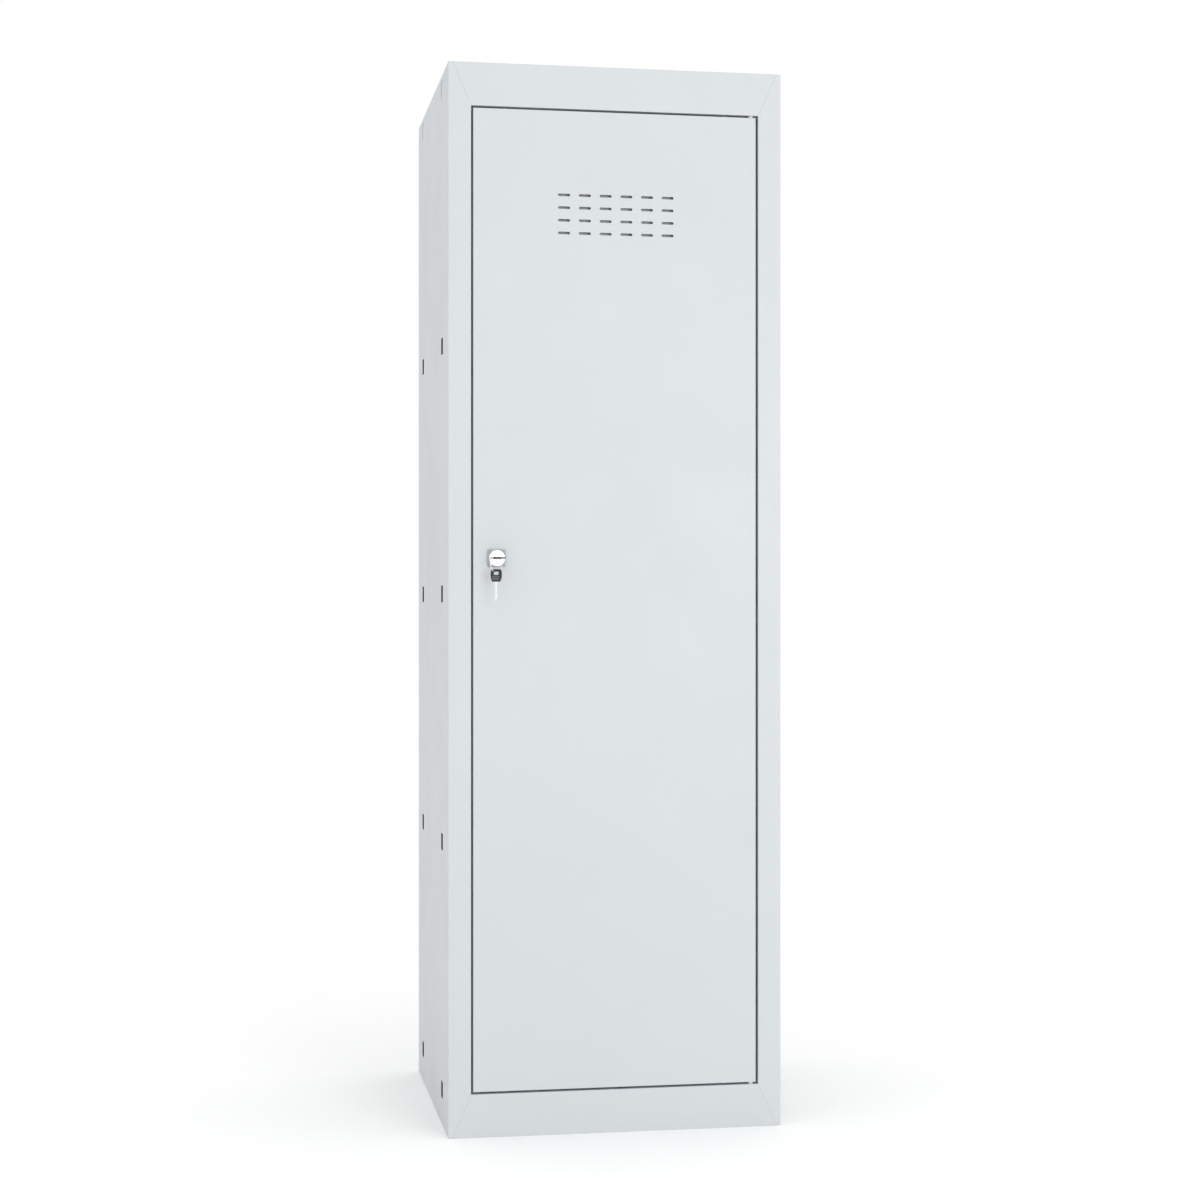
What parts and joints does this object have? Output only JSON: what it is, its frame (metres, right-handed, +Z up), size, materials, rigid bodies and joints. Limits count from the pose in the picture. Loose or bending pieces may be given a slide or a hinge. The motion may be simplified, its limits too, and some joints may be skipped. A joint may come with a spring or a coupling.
{
  "type": "locker cabinet",
  "caption": "Tall sheet-steel locker with a flush hinged door, ventilation slots, a key lock and a hat shelf over a coat rail.",
  "frame": {"origin": "centre of the carcass's rectangular footprint, on the floor", "axes": "+Z up, +Y from the door to the back, +X to the right as seen from the front"},
  "size_m": [0.6, 0.5953, 1.89],
  "materials": {
    "painted_sheet": "light grey fine-texture powder coat",
    "painted_door": "light grey fine-texture powder coat",
    "grey_plastic": "mid grey moulded",
    "white_nylon": "natural nylon",
    "black_plastic": "black moulded",
    "black_rubber": "matt rubber",
    "bright_steel": "zinc plated",
    "chrome": "satin chrome",
    "nickel": "nickel plated"
  },
  "bodies": {
    "carcass": {"left_side_panel": "painted_sheet", "right_side_panel": "painted_sheet", "back_panel": "painted_sheet", "top_panel": "painted_sheet", "floor_panel": "painted_sheet", "left_stile": "painted_sheet", "right_stile": "painted_sheet", "top_rail": "painted_sheet", "bottom_rail": "painted_sheet", "strike_plate": "painted_sheet", "door_buffers": "black_rubber", "top_hinge_plate": "painted_sheet", "bottom_hinge_plate": "painted_sheet", "top_hinge_bush": "white_nylon", "bottom_hinge_bush": "white_nylon", "bottom_hinge_washer": "white_nylon", "hat_shelf": "painted_sheet", "left_shelf_bearer": "painted_sheet", "right_shelf_bearer": "painted_sheet", "shelf_rivets": "painted_sheet", "coat_rail": "chrome", "rail_sockets": "grey_plastic", "socket_screws": "bright_steel"},
    "door": {"door_skin": "painted_door", "door_stiffener": "painted_door", "vent_baffle": "painted_door", "top_hinge_washer": "white_nylon", "lock_backing_plate": "painted_door", "top_pivot_bracket": "painted_door", "bottom_pivot_bracket": "painted_door", "top_hinge_pin": "bright_steel", "bottom_hinge_pin": "bright_steel", "door_glides": "grey_plastic", "lock_escutcheon": "grey_plastic", "lock_housing": "chrome", "lock_nut": "bright_steel"},
    "lock_core": {"lock_plug": "chrome", "lock_cam": "bright_steel", "cam_screw": "bright_steel"},
    "key": {"key_blade": "nickel", "key_bow": "black_plastic"},
    "ring": {"key_ring": "nickel"},
    "spare_key": {"spare_key_blade": "nickel", "spare_key_bow": "black_plastic"}
  },
  "joints": [
    {"name": "door_swing", "type": "hinge", "parent": "carcass", "child": "door", "pos_m": [0.2463, -0.267, 0.945], "axis": [0, 0, 1], "range_deg": [0, 105]},
    {"name": "plug_turn", "type": "hinge", "parent": "door", "child": "lock_core", "pos_m": [-0.215, -0.275, 1.0185], "axis": [0, -1, 0], "range_deg": [0, 90]},
    {"name": "key_slide", "type": "slide", "parent": "lock_core", "child": "key", "axis": [0, -1, 0], "range_m": [0, 0.04]},
    {"name": "ring_hang", "type": "hinge", "parent": "key", "child": "ring", "pos_m": [-0.2145, -0.275, 1.01925], "axis": [0, -1, 0], "range_deg": [-90, 0]},
    {"name": "spare_swing", "type": "hinge", "parent": "ring", "child": "spare_key", "pos_m": [-0.22, -0.30975, 0.9934], "axis": [0.766, 0.6428, 0], "range_deg": [-20, 20]}
  ],
  "couplings": [
    {"joint": "ring_hang", "follows": "plug_turn", "ratio": -1}
  ]
}
